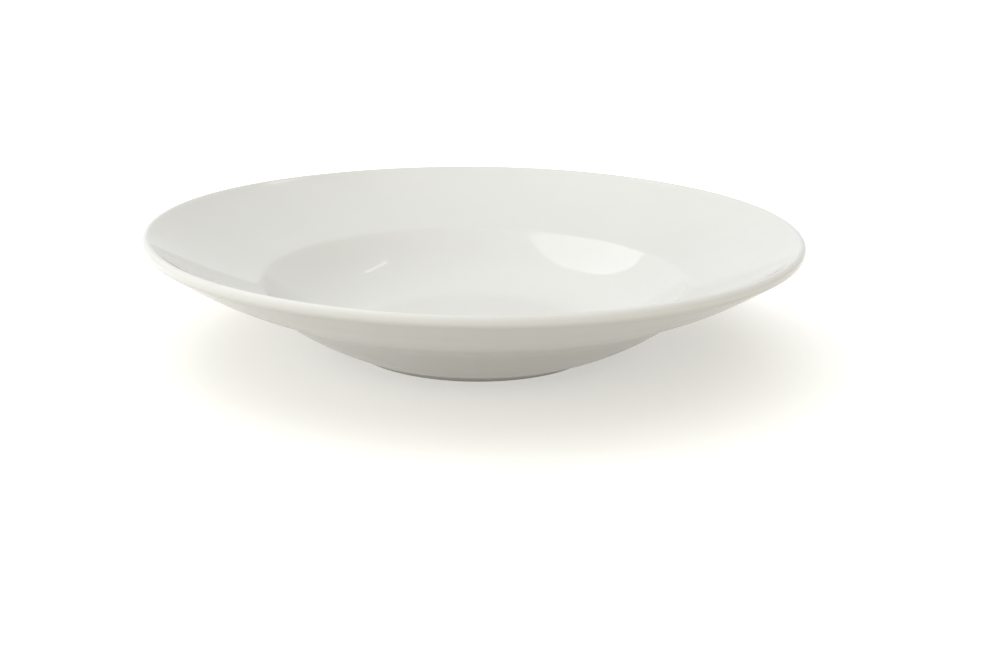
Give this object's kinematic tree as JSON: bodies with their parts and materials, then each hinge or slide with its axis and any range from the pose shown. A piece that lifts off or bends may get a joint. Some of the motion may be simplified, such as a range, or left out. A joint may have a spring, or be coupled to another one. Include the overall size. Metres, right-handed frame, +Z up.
{
  "type": "pasta bowl",
  "caption": "Wide-rimmed pasta bowl in white glazed porcelain: a shallow round well in a broad dished rim with a rounded lip, on a low foot ring.",
  "frame": {"origin": "centre of the foot ring on the plane that the bowl stands on", "axes": "+Z up along the bowl's axis, X and Y in the table's plane"},
  "size_m": [0.27, 0.27, 0.0512],
  "materials": {
    "porcelain": "fine matte bisque, bare only on the standing edge",
    "glaze": "smooth gloss, warm white"
  },
  "bodies": {
    "root": {"porcelain_body": "porcelain", "glaze_coat": "glaze", "base_glaze": "glaze"}
  },
  "joints": []
}
